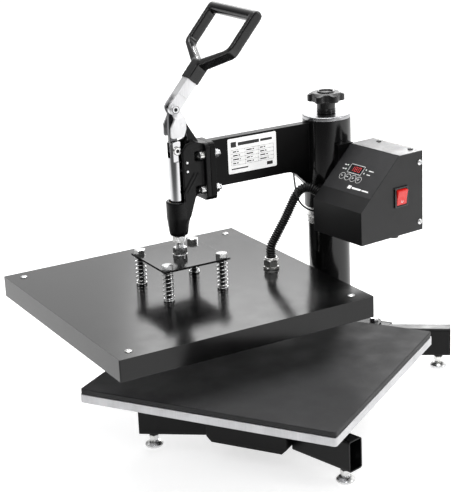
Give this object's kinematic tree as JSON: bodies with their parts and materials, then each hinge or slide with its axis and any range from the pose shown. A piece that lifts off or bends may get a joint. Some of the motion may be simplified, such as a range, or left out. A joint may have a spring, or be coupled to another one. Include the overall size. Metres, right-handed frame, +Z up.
{
  "type": "swing-away heat press",
  "caption": "Bench-top swing-away heat press: sprung heated platen on a swinging arm with a toggle lever, over a fixed padded platen on a splayed base, with a control box on the column.",
  "frame": {"origin": "fixed column's axis at the plane of the feet", "axes": "+Z up, operator at -Y, +X to the operator's right; shown with the arm swung 33.69 degrees to the left of its closed place"},
  "size_m": [0.6127, 0.6233, 0.6138],
  "materials": {
    "black_frame": "satin black powder coat",
    "black_column": "gloss black paint",
    "black_arm": "satin black powder coat",
    "black_casting": "black painted casting",
    "black_plate": "gloss black",
    "black_cover": "semi-gloss black powder coat",
    "box_paint": "fine textured black powder coat",
    "zinc": "bright zinc plate",
    "steel": "machined steel",
    "bronze": "oiled bronze bush",
    "turned_cap": "turned bright edge",
    "bare_aluminium": "sawn and milled",
    "cast_aluminium": "cast, machined face",
    "silicone": "matt black silicone sponge",
    "chrome": "polished hard chrome",
    "lever_steel": "bright satin plate",
    "link_steel": "bright forged link",
    "spring_wire": "zinc-plated spring wire",
    "nickel_gland": "nickel-plated brass",
    "black_bolts": "black oxide",
    "black_plastic": "moulded black",
    "handle_plastic": "moulded semi-gloss black",
    "red_plastic": "translucent red",
    "button_plastic": "dark grey",
    "display": "dark window, red digits",
    "circuit_board": "solder mask",
    "insulation": "mineral fibre board",
    "conduit": "corrugated, semi-gloss",
    "lead_sheath": "black sheath",
    "label_white": "white foil label",
    "overlay_black": "printed overlay"
  },
  "bodies": {
    "base": {"base_beam": "black_frame", "beam_end_plates": "black_frame", "front_legs": "black_frame", "rear_legs": "black_frame", "levelling_feet": "zinc", "foot_lock_nuts": "zinc", "column_flange": "black_frame", "column": "black_column", "column_nut": "steel", "column_collar": "zinc", "thrust_washer": "zinc", "platen_rails": "black_frame", "lower_platen_plate": "bare_aluminium", "silicone_pad": "silicone", "base_bolts": "zinc"},
    "lift": {"thrust_bearing": "steel"},
    "knob": {"height_screw": "steel", "star_knob": "black_plastic"},
    "arm": {"sleeve": "black_column", "sleeve_bushes": "bronze", "sleeve_cap": "turned_cap", "arm_bar": "black_arm", "toggle_fasteners": "zinc", "toggle_body": "black_casting", "barrel_bush": "bronze", "control_box_shell": "box_paint", "control_box_back": "box_paint", "box_screws": "zinc", "display_window": "display", "display_board": "circuit_board", "rocker_bezel": "black_plastic", "power_board": "circuit_board", "cord_gland": "black_plastic", "box_bracket": "black_arm", "conduit": "conduit", "sensor_lead": "lead_sheath"},
    "lever": {"lever_plates": "lever_steel", "lever_bar": "lever_steel", "handle": "handle_plastic", "lever_pins": "zinc"},
    "link": {"toggle_link": "link_steel"},
    "plunger": {"plunger": "chrome", "plunger_pin": "zinc", "spindle_stud": "zinc", "spindle_nuts": "zinc", "spring_plate": "black_plate"},
    "platen": {"platen_cover": "black_cover", "heating_block": "cast_aluminium", "heating_element": "steel", "insulation_board": "insulation", "temperature_sensors": "steel", "cover_screws": "zinc", "spring_bolts": "zinc", "pressure_springs": "spring_wire", "conduit_gland": "nickel_gland"},
    "rocker": {"rocker": "red_plastic"},
    "button_set": {"button_set": "button_plastic"},
    "button_down": {"button_down": "button_plastic"},
    "button_up": {"button_up": "button_plastic"},
    "button_timer": {"button_timer": "button_plastic"}
  },
  "joints": [
    {"name": "arm_lift", "type": "slide", "parent": "base", "child": "lift", "axis": [0, 0, 1], "range_m": [0, 0.012]},
    {"name": "arm_swing", "type": "hinge", "parent": "lift", "child": "arm", "pos_m": [0, 0, 0.36], "axis": [0, 0, 1], "range_deg": [-56.3, 33.69]},
    {"name": "knob_turn", "type": "hinge", "parent": "lift", "child": "knob", "pos_m": [0, 0, 0.45], "axis": [0, 0, 1], "range_deg": [0, 1081]},
    {"name": "lever_turn", "type": "hinge", "parent": "arm", "child": "lever", "pos_m": [-0.13867, -0.20801, 0.4589], "axis": [0.8321, -0.5547, 0], "range_deg": [0, 151.12]},
    {"name": "plunger_slide", "type": "slide", "parent": "arm", "child": "plunger", "axis": [0, 0, -1], "range_m": [0, 0.04664]},
    {"name": "link_turn", "type": "hinge", "parent": "plunger", "child": "link", "pos_m": [-0.14367, -0.2155, 0.421], "axis": [0.8321, -0.5547, 0], "range_deg": [-6.55, 0]},
    {"name": "platen_float", "type": "slide", "parent": "plunger", "child": "platen", "axis": [0, 0, 1], "range_m": [0, 0.008], "stiffness_N_per_m": 12000, "springref_m": -0.008, "deforming": ["pressure_springs"]},
    {"name": "rocker_turn", "type": "hinge", "parent": "arm", "child": "rocker", "pos_m": [0.13937, -0.05914, 0.3335], "axis": [0.4565, 0.8897, 0], "range_deg": [-20, 0]},
    {"name": "button_set_press", "type": "slide", "parent": "arm", "child": "button_set", "axis": [0.3147, 0.6134, -0.7244], "range_m": [0, 0.0007], "stiffness_N_per_m": 1000, "springref_m": -0.0005},
    {"name": "button_down_press", "type": "slide", "parent": "arm", "child": "button_down", "axis": [0.3147, 0.6134, -0.7244], "range_m": [0, 0.0007], "stiffness_N_per_m": 1000, "springref_m": -0.0005},
    {"name": "button_up_press", "type": "slide", "parent": "arm", "child": "button_up", "axis": [0.3147, 0.6134, -0.7244], "range_m": [0, 0.0007], "stiffness_N_per_m": 1000, "springref_m": -0.0005},
    {"name": "button_timer_press", "type": "slide", "parent": "arm", "child": "button_timer", "axis": [0.3147, 0.6134, -0.7244], "range_m": [0, 0.0007], "stiffness_N_per_m": 1000, "springref_m": -0.0005}
  ],
  "couplings": [
    {"joint": "plunger_slide", "follows": "lever_turn", "m_per_rad": 0.017683},
    {"joint": "link_turn", "follows": "lever_turn", "ratio": -0.043342},
    {"joint": "knob_turn", "follows": "arm_lift", "rad_per_m": 1570.8}
  ]
}
